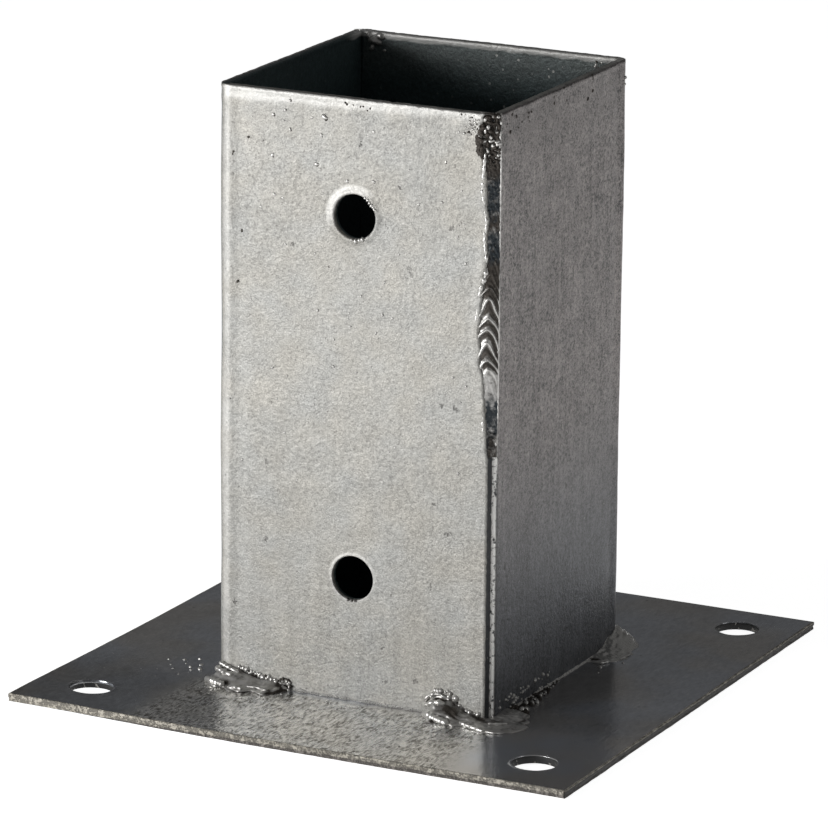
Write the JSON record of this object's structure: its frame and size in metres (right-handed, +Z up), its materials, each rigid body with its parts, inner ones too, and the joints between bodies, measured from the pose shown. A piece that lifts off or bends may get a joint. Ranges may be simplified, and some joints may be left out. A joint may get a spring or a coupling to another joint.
{
  "type": "timber post base",
  "caption": "Bolt-down base for a square timber post: a square sheet-steel sleeve with cross-bolt holes, welded upright on a flat anchor plate, hot-dip galvanised.",
  "frame": {"origin": "middle of the anchor plate's underside", "axes": "+Z up along the post; -Y is the front wall and +Y the back wall, which hold the bolt holes; +X is the right wall"},
  "size_m": [0.15, 0.15, 0.152],
  "materials": {
    "sleeve_zinc": "hot-dip galvanised sheet, dull grey with a fine sandy grain and small pimples",
    "plate_zinc": "hot-dip galvanised plate, darker grey and smoother, with spatter dots and sheared edges",
    "weld_zinc": "galvanised weld beads with bright ripples and dark craters"
  },
  "bodies": {
    "root": {"base_plate": "plate_zinc", "front_left_angle": "sleeve_zinc", "back_right_angle": "sleeve_zinc", "seam_weld_front_right": "weld_zinc", "seam_weld_back_left": "weld_zinc", "foot_weld_front_left": "weld_zinc", "foot_weld_front_right": "weld_zinc", "foot_weld_back_right": "weld_zinc", "foot_weld_back_left": "weld_zinc"}
  },
  "joints": []
}
